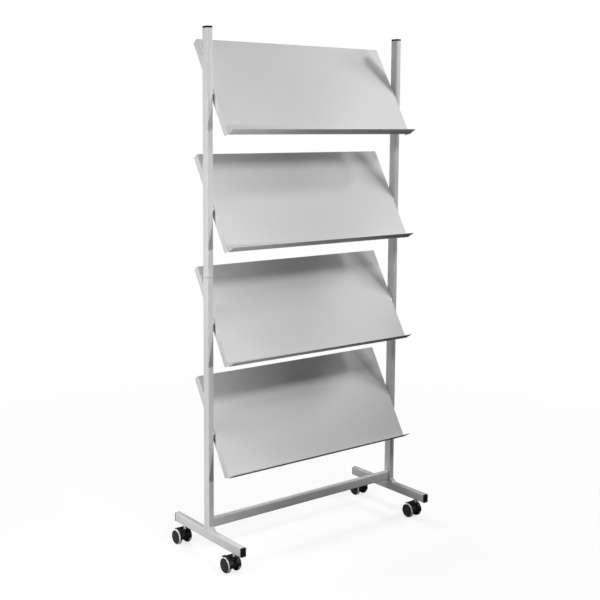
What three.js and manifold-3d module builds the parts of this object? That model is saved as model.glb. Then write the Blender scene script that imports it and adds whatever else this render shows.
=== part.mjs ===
// A mobile display rack for periodicals: two uprights on castored feet, a cross bar and sloping shelves.
// Millimetres, +Z up. The origin is on the floor under the middle of the rack, and the front faces -Y.
import * as THREE from "three";
import { mergeVertices } from "three/addons/utils/BufferGeometryUtils.js";
import Module from "manifold-3d";

const wasm = await Module();
wasm.setup();

// Tube shared by feet, uprights and cross bar
const TUBE_NARROW = 20;
const TUBE_WIDE = 30;
const TUBE_WALL = 1.5;
const TUBE_CORNER = 3;
const LEAST_CORNER = 0.5;

// Feet and uprights
const UPRIGHT_X = 395;
const FOOT_LENGTH = 380;
const FOOT_BOTTOM = 69;
const FOOT_TOP = FOOT_BOTTOM + TUBE_WIDE;
const UPRIGHT_TOP = 1694;
const UPRIGHT_JOINT = 923;
const SLEEVE_LENGTH = 160;
const SLEEVE_PLAY = 0.2;
const CAP_THICKNESS = 4;
const TOP_CAP_THICKNESS = 6;
const PLUG_DEPTH = 14;
const PLUG_WALL = 2;
const CAP_BEVEL = 1.2;

// Cross bar, its end plates and their screws
const BAR_Z = 121;
const PLATE_THICKNESS = 3;
const PLATE_HEIGHT = 66;
const PLATE_WIDTH = 20;
const SCREW_OFFSET = 26.5;
const SCREW_RADIUS = 2.9;
const SCREW_HOLE_RADIUS = 3.3;
const SCREW_REACH = 8;
const SCREW_HEAD_RADIUS = 5.2;
const SCREW_HEAD_HEIGHT = 3;
const SCREW_CROWN_RADIUS = 4.2;
const SCREW_CROWN_HEIGHT = 2.2;

// Shelves: one folded sheet each, described flat and then tilted about the fixings on the uprights
const SHELF_TILT = THREE.MathUtils.degToRad(59.2);
const SHELF_WIDTH = 762;
const SHELF_REAR = 182;
const SHELF_FRONT = -164;
const SHELF_FACE = 9.5;
const SHEET = 1.2;
const BEND = 1.2;
const LIP_HEIGHT = 35;
const FLANGE_DEPTH = 21;
const FLANGE_CUTBACK = 4;
const SHELF_COUNT = 4;
const SHELF_PITCH = 360;
const TOP_SHELF_Z = 1505.6;

// Shelf fixings: spacer plate, two studs and nuts at each shelf end
const STUD_SPREAD = 12;
const STUD_RADIUS = 3;
const STUD_HOLE_RADIUS = 3.4;
const STUD_REACH = 6;
const STUD_END = 2;
const NUT_RADIUS = 5.7;
const NUT_HEIGHT = 5;
const SPACER_LENGTH = 36;
const SPACER_WIDTH = 14;
const FIXING_GAP = 0.2;

// Castors
const STEM_Y = 145;
const TRAIL = 21;
const WHEEL_RADIUS = 25;
const WHEEL_INNER = 13;
const WHEEL_OUTER = 25.6;
const TREAD_ROUND = 0.8;
const TREAD_EDGE = 22.2;
const RIM_RADIUS = 22.7;
const RIM_START = 24.4;
const RIM_ROUND = 0.4;
const HUB_RADIUS = 19.2;
const HUB_RECESS = 0.6;
const BORE_END = 21.5;
const AXLE_RADIUS = 4;
const AXLE_HALF = 21;
const BORE_PLAY = 0.3;
const WEB_HALF = 6.3;
const WEB_RADIUS = 27.5;
const WEB_BOSS_RADIUS = 8;
const WEB_BOSS_HALF = 12.5;
const HOOD_HALF = 21;
const HOOD_INNER = 26.4;
const HOOD_OUTER = 28.8;
const HOOD_REAR_ANGLE = THREE.MathUtils.degToRad(62);
const HOOD_FRONT_ANGLE = THREE.MathUtils.degToRad(186);
const PIN_RADIUS = 4;
const PIN_BOTTOM = 30;
const NECK_RADIUS = 7.5;
const NECK_BOTTOM = 22;
const NECK_TOP = 56;
const STEM_RADIUS = 5;
const STEM_BOTTOM = 56.5;
const FLANGE_RADIUS = 9;
const FLANGE_BOTTOM = 66.5;
const STEM_TOP = 84;
const STEM_NUT_RADIUS = 8.2;
const STEM_NUT_HEIGHT = 6;

// Brake pedal on two of the castors, reaching out between the wheels
const PEDAL_PIVOT = [34, 40];
const PEDAL_BARREL = 3.2;
const PEDAL_BARREL_HALF = 7.6;
const PEDAL_HALF = 7;
const PEDAL_PIN_RADIUS = 1.5;
const PEDAL_PIN_HALF = 11.6;
const PEDAL_LENGTH = 29;
const PEDAL_THICKNESS = 3;
const PEDAL_SLOPE = THREE.MathUtils.degToRad(-5);
const EAR_INNER = 8.2;
const EAR_OUTER = 11.8;
const EAR_RADIUS = 4.2;
const EAR_ROOT = [28.4, 51];
const EAR_ROOT_RADIUS = 1.6;

// Facets on round shapes, and how far a cutter runs past the face it cuts
const TUBE_CORNER_STEPS = 2;
const SMALL_CORNER_STEPS = 1;
const HOLE_STEPS = 10;
const STUD_STEPS = 8;
const HEXAGON = 6;
const ROUND_STEPS = 12;
const HOOD_STEPS = 7;
const WHEEL_STEPS = 24;
const CUT_PAST = 1;

// Finishes
function finish(color, roughness, metalness) {
  return new THREE.MeshStandardMaterial({ color, roughness, metalness });
}
const COATED_STEEL = finish(0xc4c6c6, 0.45, 0.35);
const BARE_STEEL = finish(0xb0b2b4, 0.35, 0.9);
const BLACK_PLASTIC = finish(0x141415, 0.55, 0);
const WHEEL_PLASTIC = finish(0x3c3d3e, 0.5, 0);

const rack = new THREE.Group();

// Solids for joins and cuts
function toSolid(geometry) {
  const bare = geometry.clone();
  bare.deleteAttribute("normal");
  bare.deleteAttribute("uv");
  const merged = mergeVertices(bare, 1e-4);
  const corners = merged.index.array;
  const kept = [];
  for (let i = 0; i < corners.length; i += 3) {
    const [a, b, c] = corners.slice(i, i + 3);
    if (a !== b && b !== c && c !== a) kept.push(a, b, c);
  }
  const vertProperties = new Float32Array(merged.attributes.position.array);
  return new wasm.Manifold(new wasm.Mesh({ numProp: 3, vertProperties, triVerts: new Uint32Array(kept) }));
}

function toGeometry(solid) {
  const mesh = solid.getMesh();
  const geometry = new THREE.BufferGeometry();
  geometry.setAttribute("position", new THREE.BufferAttribute(new Float32Array(mesh.vertProperties), 3));
  geometry.setIndex(new THREE.BufferAttribute(new Uint32Array(mesh.triVerts), 1));
  geometry.computeVertexNormals();
  return geometry;
}

function join(...geometries) {
  const [first, ...rest] = geometries.map(toSolid);
  return toGeometry(rest.reduce((whole, next) => whole.add(next), first));
}

function hull(...geometries) {
  return toGeometry(wasm.Manifold.hull(geometries.map(toSolid)));
}

function cut(geometry, ...cutters) {
  const whole = toSolid(geometry);
  return toGeometry(cutters.map(toSolid).reduce((left, cutter) => left.subtract(cutter), whole));
}

// Shapes and simple solids
function roundedRectangle(width, height, radius) {
  const [x, y] = [width / 2, height / 2];
  const shape = new THREE.Shape();
  shape.moveTo(-x + radius, -y);
  shape.lineTo(x - radius, -y);
  shape.absarc(x - radius, -y + radius, radius, -Math.PI / 2, 0, false);
  shape.absarc(x - radius, y - radius, radius, 0, Math.PI / 2, false);
  shape.absarc(-x + radius, y - radius, radius, Math.PI / 2, Math.PI, false);
  shape.absarc(-x + radius, -y + radius, radius, Math.PI, 1.5 * Math.PI, false);
  return shape;
}

function tubeSection(width, height, wall, radius) {
  const shape = roundedRectangle(width, height, radius);
  const innerRadius = Math.max(radius - wall, LEAST_CORNER);
  shape.holes.push(roundedRectangle(width - 2 * wall, height - 2 * wall, innerRadius));
  return shape;
}

// Section of a piece that slides into the tube's bore
function boreSection(wall) {
  const insideTube = (size) => size - 2 * TUBE_WALL - 2 * SLEEVE_PLAY;
  return tubeSection(insideTube(TUBE_NARROW), insideTube(TUBE_WIDE), wall, TUBE_CORNER - TUBE_WALL);
}

function roundHole(x, y, radius) {
  const corner = (_, i) => {
    const angle = (2 * Math.PI * i) / HOLE_STEPS;
    return new THREE.Vector2(x + radius * Math.cos(angle), y + radius * Math.sin(angle));
  };
  return new THREE.Path(Array.from({ length: HOLE_STEPS }, corner));
}

function extrude(shape, depth, curveSegments, bevel = 0) {
  return new THREE.ExtrudeGeometry(shape, {
    depth: depth - bevel,
    curveSegments,
    bevelEnabled: bevel > 0,
    bevelThickness: bevel,
    bevelSize: bevel,
    bevelOffset: -bevel,
    bevelSegments: 1,
  });
}

function cylinderZ(radius, bottom, top, steps = ROUND_STEPS) {
  return new THREE.CylinderGeometry(radius, radius, top - bottom, steps)
    .rotateX(Math.PI / 2)
    .translate(0, 0, (bottom + top) / 2);
}

function cylinderX(radius, from, to, y, z, steps = ROUND_STEPS) {
  return new THREE.CylinderGeometry(radius, radius, to - from, steps)
    .rotateZ(Math.PI / 2)
    .translate((from + to) / 2, y, z);
}

function boxBetween(low, high) {
  const size = high.map((value, i) => value - low[i]);
  return new THREE.BoxGeometry(...size).translate(...low.map((value, i) => value + size[i] / 2));
}

// An outline drawn in (y, z) and made solid between two x values
function slabX(shape, from, to) {
  return extrude(shape, to - from, SMALL_CORNER_STEPS)
    .applyMatrix4(new THREE.Matrix4().makeBasis(
      new THREE.Vector3(0, 1, 0),
      new THREE.Vector3(0, 0, 1),
      new THREE.Vector3(1, 0, 0),
    ))
    .translate(from, 0, 0);
}

// Mirrors a solid made for the right-hand side to the left
function onSide(geometry, side) {
  if (side > 0) return geometry;
  const mirrored = toSolid(geometry).mirror([1, 0, 0]);
  return toGeometry(mirrored);
}

function addPiece(parent, name, geometry, material) {
  const mesh = new THREE.Mesh(geometry, material);
  mesh.name = name;
  parent.add(mesh);
  return mesh;
}

// Where each shelf is bolted to the uprights
const shelfHeights = Array.from({ length: SHELF_COUNT }, (_, i) => TOP_SHELF_Z - i * SHELF_PITCH);
const studPlaces = shelfHeights.flatMap((z) =>
  [-1, 1].map((end) => [
    end * STUD_SPREAD * Math.cos(SHELF_TILT),
    z + end * STUD_SPREAD * Math.sin(SHELF_TILT),
  ]),
);
const INNER_FACE = UPRIGHT_X - TUBE_NARROW / 2;

// A plug with a bevelled head and a hollow body that fits a tube end; the head faces +Z from z = 0
function tubePlug(headThickness) {
  const outline = roundedRectangle(TUBE_NARROW, TUBE_WIDE, TUBE_CORNER);
  const head = extrude(outline, headThickness, SMALL_CORNER_STEPS, CAP_BEVEL);
  const body = extrude(boreSection(PLUG_WALL), PLUG_DEPTH, SMALL_CORNER_STEPS);
  const lower = boxBetween([-TUBE_NARROW, -TUBE_WIDE, -CAP_BEVEL], [TUBE_NARROW, TUBE_WIDE, 0]);
  return join(cut(head, lower), body.translate(0, 0, CAP_BEVEL - PLUG_DEPTH));
}

// Cutter for a hole through the wall of a foot or upright that faces the shelves
function innerWallHole(radius, y, z) {
  return cylinderX(radius, INNER_FACE - CUT_PAST, INNER_FACE + 2 * TUBE_WALL, y, z, HOLE_STEPS);
}

// Feet
function makeFoot(side, sideName) {
  const section = tubeSection(TUBE_NARROW, TUBE_WIDE, TUBE_WALL, TUBE_CORNER);
  const tube = extrude(section, FOOT_LENGTH, TUBE_CORNER_STEPS)
    .rotateX(Math.PI / 2)
    .translate(UPRIGHT_X, FOOT_LENGTH / 2, FOOT_BOTTOM + TUBE_WIDE / 2);
  const stemHole = cylinderZ(PIN_RADIUS + BORE_PLAY, FOOT_BOTTOM - CUT_PAST, FOOT_BOTTOM + 2 * TUBE_WALL);
  const stemHoles = [-STEM_Y, STEM_Y].map((y) => stemHole.clone().translate(UPRIGHT_X, y, 0));
  const screwHole = innerWallHole(SCREW_HOLE_RADIUS, 0, BAR_Z - SCREW_OFFSET);
  addPiece(rack, `foot_${sideName}`, onSide(cut(tube, ...stemHoles, screwHole), side), COATED_STEEL);
  for (const [end, endName] of [[-1, "front"], [1, "rear"]]) {
    const plug = addPiece(rack, `foot_plug_${sideName}_${endName}`, tubePlug(CAP_THICKNESS), BLACK_PLASTIC);
    plug.rotation.x = -end * Math.PI / 2;
    plug.position.set(side * UPRIGHT_X, (end * FOOT_LENGTH) / 2, FOOT_BOTTOM + TUBE_WIDE / 2);
  }
}

// Uprights
function makeUpright(side, sideName) {
  const section = tubeSection(TUBE_NARROW, TUBE_WIDE, TUBE_WALL, TUBE_CORNER);
  const length = (bottom, top) => {
    const tube = extrude(section, top - bottom, TUBE_CORNER_STEPS).translate(UPRIGHT_X, 0, bottom);
    const holes = studPlaces
      .filter(([, z]) => z > bottom && z < top)
      .map(([y, z]) => innerWallHole(STUD_HOLE_RADIUS, y, z));
    if (bottom === FOOT_TOP) holes.push(innerWallHole(SCREW_HOLE_RADIUS, 0, BAR_Z + SCREW_OFFSET));
    return onSide(cut(tube, ...holes), side);
  };
  addPiece(rack, `upright_lower_${sideName}`, length(FOOT_TOP, UPRIGHT_JOINT), COATED_STEEL);
  addPiece(rack, `upright_upper_${sideName}`, length(UPRIGHT_JOINT, UPRIGHT_TOP), COATED_STEEL);

  const sleeveTube = extrude(boreSection(TUBE_WALL), SLEEVE_LENGTH, SMALL_CORNER_STEPS);
  const sleeve = addPiece(rack, `upright_sleeve_${sideName}`, sleeveTube, BARE_STEEL);
  sleeve.position.set(side * UPRIGHT_X, 0, UPRIGHT_JOINT - SLEEVE_LENGTH / 2);

  const cap = addPiece(rack, `upright_cap_${sideName}`, tubePlug(TOP_CAP_THICKNESS), BLACK_PLASTIC);
  cap.position.set(side * UPRIGHT_X, 0, UPRIGHT_TOP);
}

// Cross bar with an end plate bolted to upright and foot
function makeCrossBar() {
  const plateFace = INNER_FACE - PLATE_THICKNESS;
  const section = tubeSection(TUBE_WIDE, TUBE_NARROW, TUBE_WALL, TUBE_CORNER);
  const barTube = extrude(section, 2 * plateFace, TUBE_CORNER_STEPS);
  const bar = addPiece(rack, "cross_bar", barTube, COATED_STEEL);
  bar.rotation.y = Math.PI / 2;
  bar.position.set(-plateFace, 0, BAR_Z);

  const outline = roundedRectangle(PLATE_WIDTH, PLATE_HEIGHT, TUBE_CORNER);
  for (const z of [-SCREW_OFFSET, SCREW_OFFSET]) {
    outline.holes.push(roundHole(0, z, SCREW_HOLE_RADIUS));
  }
  const screwProfile = [
    [0, -SCREW_REACH],
    [SCREW_RADIUS, -SCREW_REACH],
    [SCREW_RADIUS, PLATE_THICKNESS],
    [SCREW_HEAD_RADIUS, PLATE_THICKNESS],
    [SCREW_CROWN_RADIUS, PLATE_THICKNESS + SCREW_CROWN_HEIGHT],
    [0, PLATE_THICKNESS + SCREW_HEAD_HEIGHT],
  ].map(([r, along]) => new THREE.Vector2(r, along));

  for (const [side, sideName] of [[-1, "left"], [1, "right"]]) {
    const plate = slabX(outline, plateFace, INNER_FACE).translate(0, 0, BAR_Z);
    addPiece(rack, `bar_plate_${sideName}`, onSide(plate, side), COATED_STEEL);
    for (const [end, endName] of [[-1, "lower"], [1, "upper"]]) {
      const screw = new THREE.LatheGeometry(screwProfile, ROUND_STEPS);
      const piece = addPiece(rack, `bar_screw_${sideName}_${endName}`, screw, BARE_STEEL);
      piece.rotation.z = (side * Math.PI) / 2;
      piece.position.set(side * (INNER_FACE - FIXING_GAP), 0, BAR_Z + end * SCREW_OFFSET);
    }
  }
}

// One shelf sheet, laid flat: the panel faces up, the lip rises at the front, the other edges fold down
function shelfSheet() {
  const outer = BEND + SHEET;
  const under = SHELF_FACE - SHEET;
  const lipTop = under + LIP_HEIGHT;
  const foldEnd = SHELF_FACE - FLANGE_DEPTH;
  const profile = new THREE.Shape();
  profile.moveTo(SHELF_FRONT, lipTop);
  profile.lineTo(SHELF_FRONT, under + outer);
  profile.absarc(SHELF_FRONT + outer, under + outer, outer, Math.PI, 1.5 * Math.PI, false);
  profile.lineTo(SHELF_REAR - outer, under);
  profile.absarc(SHELF_REAR - outer, under - BEND, BEND, Math.PI / 2, 0, true);
  profile.lineTo(SHELF_REAR - SHEET, foldEnd);
  profile.lineTo(SHELF_REAR, foldEnd);
  profile.lineTo(SHELF_REAR, SHELF_FACE - outer);
  profile.absarc(SHELF_REAR - outer, SHELF_FACE - outer, outer, 0, Math.PI / 2, false);
  profile.lineTo(SHELF_FRONT + outer, SHELF_FACE);
  profile.absarc(SHELF_FRONT + outer, SHELF_FACE + BEND, BEND, 1.5 * Math.PI, Math.PI, true);
  profile.lineTo(SHELF_FRONT + SHEET, lipTop);
  profile.closePath();

  const flange = new THREE.Shape();
  flange.moveTo(SHELF_FRONT + outer, SHELF_FACE - SHEET / 2);
  flange.lineTo(SHELF_FRONT + outer, under);
  flange.lineTo(SHELF_FRONT + outer + FLANGE_CUTBACK, foldEnd);
  flange.lineTo(SHELF_REAR - outer, foldEnd);
  flange.lineTo(SHELF_REAR - outer, SHELF_FACE - SHEET / 2);
  flange.closePath();
  for (const y of [-STUD_SPREAD, STUD_SPREAD]) {
    flange.holes.push(roundHole(y, 0, STUD_HOLE_RADIUS));
  }
  const half = SHELF_WIDTH / 2;
  return join(
    slabX(profile, -half, half),
    slabX(flange, half - SHEET, half),
    slabX(flange, -half, SHEET - half),
  );
}

// The fixing at a shelf's right-hand end, in the shelf's own frame
function shelfFixing() {
  const half = SHELF_WIDTH / 2;
  const flangeInside = half - SHEET - FIXING_GAP;
  const nutFace = flangeInside - NUT_HEIGHT;
  const spacer = boxBetween(
    [half + FIXING_GAP, -SPACER_LENGTH / 2, -SPACER_WIDTH / 2],
    [INNER_FACE - FIXING_GAP, SPACER_LENGTH / 2, SPACER_WIDTH / 2],
  );
  const studs = [-STUD_SPREAD, STUD_SPREAD].flatMap((y) => [
    cylinderX(STUD_RADIUS, nutFace - STUD_END, INNER_FACE + STUD_REACH, y, 0, STUD_STEPS),
    cylinderX(NUT_RADIUS, nutFace, flangeInside, y, 0, HEXAGON),
  ]);
  return join(spacer, ...studs);
}

function makeShelves() {
  const sheet = shelfSheet();
  const fixing = shelfFixing();
  shelfHeights.forEach((z, i) => {
    const shelf = new THREE.Group();
    shelf.position.z = z;
    shelf.rotation.x = SHELF_TILT;
    rack.add(shelf);
    addPiece(shelf, `shelf_${i + 1}`, sheet, COATED_STEEL);
    addPiece(shelf, `shelf_fixing_${i + 1}_left`, onSide(fixing, -1), BARE_STEEL);
    addPiece(shelf, `shelf_fixing_${i + 1}_right`, fixing, BARE_STEEL);
  });
}

// Castors, each made about its own stem axis with the axle trailing behind it
function hoodSector(innerRadius, outerRadius) {
  const shape = new THREE.Shape();
  shape.absarc(TRAIL, WHEEL_RADIUS, outerRadius, HOOD_REAR_ANGLE, HOOD_FRONT_ANGLE, false);
  if (innerRadius > 0) {
    shape.absarc(TRAIL, WHEEL_RADIUS, innerRadius, HOOD_FRONT_ANGLE, HOOD_REAR_ANGLE, true);
  } else {
    shape.lineTo(TRAIL, WHEEL_RADIUS);
  }
  shape.closePath();
  return shape;
}

function castorHood(braked) {
  const curve = (shape, half) => {
    const points = shape.getPoints(HOOD_STEPS);
    return slabX(new THREE.Shape(points), -half, half);
  };
  const pieces = [
    curve(hoodSector(HOOD_INNER, HOOD_OUTER), HOOD_HALF),
    curve(hoodSector(0, WEB_RADIUS), WEB_HALF),
    cylinderX(WEB_BOSS_RADIUS, -WEB_BOSS_HALF, WEB_BOSS_HALF, TRAIL, WHEEL_RADIUS),
    cylinderZ(NECK_RADIUS, NECK_BOTTOM, NECK_TOP),
  ];
  if (braked) {
    const ear = hull(
      cylinderX(EAR_RADIUS, EAR_INNER, EAR_OUTER, ...PEDAL_PIVOT),
      cylinderX(EAR_ROOT_RADIUS, EAR_INNER, EAR_OUTER, ...EAR_ROOT),
    );
    pieces.push(ear, onSide(ear, -1));
  }
  const bores = [
    cylinderX(AXLE_RADIUS + FIXING_GAP, -HOOD_HALF, HOOD_HALF, TRAIL, WHEEL_RADIUS),
    cylinderZ(PIN_RADIUS + BORE_PLAY, PIN_BOTTOM - CUT_PAST, NECK_TOP + CUT_PAST),
  ];
  if (braked) {
    const reach = EAR_OUTER + CUT_PAST;
    bores.push(cylinderX(PEDAL_PIN_RADIUS + BORE_PLAY, -reach, reach, ...PEDAL_PIVOT));
  }
  return cut(join(...pieces), ...bores);
}

// The stem shows between hood and foot; a thinner pin runs down into the hood and up to a nut in the foot
function castorStem() {
  const nutBottom = FOOT_BOTTOM + TUBE_WALL + FIXING_GAP;
  const flangeTop = FOOT_BOTTOM - FIXING_GAP / 2;
  return join(
    cylinderZ(PIN_RADIUS, PIN_BOTTOM, STEM_TOP),
    cylinderZ(STEM_RADIUS, STEM_BOTTOM, flangeTop),
    cylinderZ(FLANGE_RADIUS, FLANGE_BOTTOM, flangeTop),
    cylinderZ(STEM_NUT_RADIUS, nutBottom, nutBottom + STEM_NUT_HEIGHT, HEXAGON),
  );
}

// Wheel on the +X side of its castor: blind bore from the inner face, a tread with a sloping outer shoulder,
// and a rim that stands out past it round a slightly sunk hub face.
// The tread's flats, one of them facing the floor, lie at the wheel's radius.
function castorWheel() {
  const halfStep = Math.PI / WHEEL_STEPS;
  const tread = WHEEL_RADIUS / Math.cos(halfStep);
  const bore = AXLE_RADIUS + BORE_PLAY;
  const hubFace = WHEEL_OUTER - HUB_RECESS;
  const profile = [
    [0, BORE_END],
    [bore, BORE_END],
    [bore, WHEEL_INNER],
    [tread - TREAD_ROUND, WHEEL_INNER],
    [tread, WHEEL_INNER + TREAD_ROUND],
    [tread, TREAD_EDGE],
    [RIM_RADIUS, RIM_START],
    [RIM_RADIUS, WHEEL_OUTER - RIM_ROUND],
    [RIM_RADIUS - RIM_ROUND, WHEEL_OUTER],
    [HUB_RADIUS + HUB_RECESS, WHEEL_OUTER],
    [HUB_RADIUS, hubFace],
    [0, hubFace],
  ].map(([r, along]) => new THREE.Vector2(r, along));
  return new THREE.LatheGeometry(profile, WHEEL_STEPS, halfStep)
    .rotateZ(-Math.PI / 2)
    .translate(0, TRAIL, WHEEL_RADIUS);
}

function brakePedal() {
  const half = PEDAL_THICKNESS / 2;
  const plate = boxBetween([-PEDAL_HALF, 0, -half], [PEDAL_HALF, PEDAL_LENGTH, half])
    .rotateX(PEDAL_SLOPE)
    .translate(0, ...PEDAL_PIVOT);
  return join(
    cylinderX(PEDAL_BARREL, -PEDAL_BARREL_HALF, PEDAL_BARREL_HALF, ...PEDAL_PIVOT),
    cylinderX(PEDAL_PIN_RADIUS, -PEDAL_PIN_HALF, PEDAL_PIN_HALF, ...PEDAL_PIVOT),
    plate,
  );
}

function makeCastors() {
  const corners = [
    ["front_left", -1, -1, true],
    ["front_right", 1, -1, false],
    ["rear_left", -1, 1, false],
    ["rear_right", 1, 1, true],
  ];
  for (const [corner, side, end, braked] of corners) {
    const castor = new THREE.Group();
    castor.position.set(side * UPRIGHT_X, end * STEM_Y, 0);
    rack.add(castor);
    addPiece(castor, `castor_stem_${corner}`, castorStem(), BARE_STEEL);
    addPiece(castor, `castor_hood_${corner}`, castorHood(braked), BLACK_PLASTIC);
    const axle = cylinderX(AXLE_RADIUS, -AXLE_HALF, AXLE_HALF, TRAIL, WHEEL_RADIUS);
    addPiece(castor, `castor_axle_${corner}`, axle, BARE_STEEL);
    for (const [wheelSide, wheelName] of [[side, "outer"], [-side, "inner"]]) {
      addPiece(castor, `wheel_${corner}_${wheelName}`, onSide(castorWheel(), wheelSide), WHEEL_PLASTIC);
    }
    if (braked) addPiece(castor, `brake_pedal_${corner}`, brakePedal(), BLACK_PLASTIC);
  }
}

for (const [side, sideName] of [[-1, "left"], [1, "right"]]) {
  makeFoot(side, sideName);
  makeUpright(side, sideName);
}
makeCrossBar();
makeShelves();
makeCastors();

export default rack;
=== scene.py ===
# A mobile display rack for periodicals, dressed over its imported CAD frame. Metres, +Z up, front to -Y.
import math

import bmesh
import bpy
from mathutils import Matrix, Vector


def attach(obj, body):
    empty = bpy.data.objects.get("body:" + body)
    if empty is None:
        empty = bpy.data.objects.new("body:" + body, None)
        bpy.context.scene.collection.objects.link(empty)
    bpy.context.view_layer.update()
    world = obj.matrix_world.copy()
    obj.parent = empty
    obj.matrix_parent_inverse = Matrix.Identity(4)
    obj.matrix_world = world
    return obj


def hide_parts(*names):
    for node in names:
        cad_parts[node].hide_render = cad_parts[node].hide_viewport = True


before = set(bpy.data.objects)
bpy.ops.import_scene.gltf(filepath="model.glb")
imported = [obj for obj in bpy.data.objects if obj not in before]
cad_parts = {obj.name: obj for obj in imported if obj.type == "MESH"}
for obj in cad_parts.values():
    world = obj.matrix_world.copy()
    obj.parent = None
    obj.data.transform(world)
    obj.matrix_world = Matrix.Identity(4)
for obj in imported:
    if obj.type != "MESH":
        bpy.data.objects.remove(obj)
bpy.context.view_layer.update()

# Feet: two lengths of rectangular steel tube that lie front to back on the castors.
# They are sawn from the same tube as the uprights and bar, welded up, and powder coated light silver grey.
MM = 0.001
SIDES = {"left": -1, "right": 1}
ENDS = {"front": -1, "rear": 1}
X, Y, Z = Vector((1, 0, 0)), Vector((0, 1, 0)), Vector((0, 0, 1))

TUBE_NARROW = 20 * MM
TUBE_WIDE = 30 * MM
TUBE_WALL = 1.5 * MM
TUBE_CORNER = 3 * MM
SAWN_EDGE = 0.35 * MM
CORNER_STEPS = 6
UPRIGHT_X = 395 * MM
FOOT_HALF = 190 * MM
FOOT_BOTTOM = 69 * MM
FOOT_TOP = FOOT_BOTTOM + TUBE_WIDE
FOOT_Z = FOOT_BOTTOM + TUBE_WIDE / 2
SHARP_ANGLE = math.radians(35)


def rounded_outline(width, height, corner):
    """Corner points of a rounded rectangle, each with how far it is round its corner, 0 to 1 and back."""
    points = []
    for quarter, (side_u, side_v) in enumerate(((1, 1), (-1, 1), (-1, -1), (1, -1))):
        centre = (side_u * (width / 2 - corner), side_v * (height / 2 - corner))
        for step in range(CORNER_STEPS + 1):
            angle = math.pi / 2 * (quarter + step / CORNER_STEPS)
            bend = math.sin(math.pi * step / CORNER_STEPS)
            points.append((centre[0] + corner * math.cos(angle), centre[1] + corner * math.sin(angle), bend))
    return points


def ring_at(centre, outline, across, up):
    """An outline set into space, as points with their edge value."""
    return [(centre + across * u + up * v, bend) for u, v, bend in outline]


def loft(rings, around=False):
    """A closed skin over a row of rings, with capped ends, or with the last ring joined to the first."""
    shape = bmesh.new()
    edge = shape.verts.layers.float.new("edge")
    rows = []
    for ring in rings:
        row = []
        for point, bend in ring:
            vert = shape.verts.new(point)
            vert[edge] = bend
            row.append(vert)
        rows.append(row)
    pairs = list(zip(rows, rows[1:]))
    if around:
        pairs.append((rows[-1], rows[0]))
    for low, high in pairs:
        for i, vert in enumerate(low):
            j = (i + 1) % len(low)
            shape.faces.new((vert, low[j], high[j], high[i]))
    if not around:
        shape.faces.new(list(reversed(rows[0])))
        shape.faces.new(rows[-1])
    bmesh.ops.recalc_face_normals(shape, faces=shape.faces)
    return shape


def steel_tube(start, end, across, up, width, height):
    """A length of tube between two points, hollow, with its sawn ends broken a little."""
    along = (end - start).normalized()
    outer = rounded_outline(width, height, TUBE_CORNER)
    broken = rounded_outline(width - 2 * SAWN_EDGE, height - 2 * SAWN_EDGE, TUBE_CORNER - SAWN_EDGE)
    bore = rounded_outline(width - 2 * TUBE_WALL, height - 2 * TUBE_WALL, TUBE_CORNER - TUBE_WALL)
    stations = (
        (start, broken),
        (start + along * SAWN_EDGE, outer),
        (end - along * SAWN_EDGE, outer),
        (end, broken),
        (end, bore),
        (start, bore),
    )
    return loft([ring_at(centre, outline, across, up) for centre, outline in stations], around=True)


def add_piece(name, shapes, material, body, nodes=()):
    """One object from one or more skins, smooth over its rounded parts, riding on a body of the frame."""
    whole = bmesh.new()
    for shape in shapes:
        part = bpy.data.meshes.new("part")
        shape.to_mesh(part)
        shape.free()
        whole.from_mesh(part)
        bpy.data.meshes.remove(part)
    mesh = bpy.data.meshes.new(name)
    whole.to_mesh(mesh)
    whole.free()
    mesh.polygons.foreach_set("use_smooth", [True] * len(mesh.polygons))
    mesh.set_sharp_from_angle(angle=SHARP_ANGLE)
    mesh.materials.append(material)
    piece = bpy.data.objects.new(name, mesh)
    bpy.context.scene.collection.objects.link(piece)
    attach(piece, body)
    if nodes:
        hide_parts(*nodes)


def add_node(tree, kind, inputs=None, **settings):
    """A shader node with its settings and input values."""
    node = tree.nodes.new(kind)
    for key, value in settings.items():
        setattr(node, key, value)
    for key, value in (inputs or {}).items():
        node.inputs[key].default_value = value
    return node


def new_group(name, inputs, outputs):
    """An empty shader node group with named float sockets."""
    group = bpy.data.node_groups.new(name, "ShaderNodeTree")
    for label, value in inputs.items():
        group.interface.new_socket(label, in_out="INPUT", socket_type="NodeSocketFloat").default_value = value
    for label in outputs:
        group.interface.new_socket(label, in_out="OUTPUT", socket_type="NodeSocketFloat")
    return group, group.nodes.new("NodeGroupInput"), group.nodes.new("NodeGroupOutput")


def patchy_noise(group, size_mm, detail, roughness):
    """Noise over a piece, with its patch size taken from a socket in millimetres."""
    place = add_node(group, "ShaderNodeTexCoord")
    per_metre = add_node(group, "ShaderNodeMath", {0: 1 / MM}, operation="DIVIDE")
    noise = add_node(group, "ShaderNodeTexNoise", {"Detail": detail, "Roughness": roughness})
    group.links.new(size_mm, per_metre.inputs[1])
    group.links.new(place.outputs["Object"], noise.inputs["Vector"])
    group.links.new(per_metre.outputs[0], noise.inputs["Scale"])
    return noise.outputs["Fac"]


def product(group, *values):
    """The product of two values."""
    node = add_node(group, "ShaderNodeMath", operation="MULTIPLY")
    for value, socket in zip(values, node.inputs):
        group.links.new(value, socket)
    return node.outputs[0]


def make_grain_group():
    """Fine and broad unevenness over a surface, with the size of each in millimetres."""
    group, given, out = new_group("surface_grain", {"Fine mm": 1.0, "Broad mm": 60.0}, ("Fine", "Broad"))
    for label, detail in (("Fine", 3.0), ("Broad", 2.0)):
        noise = patchy_noise(group, given.outputs[f"{label} mm"], detail, roughness=0.55)
        group.links.new(noise, out.inputs[label])
    return group


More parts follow.
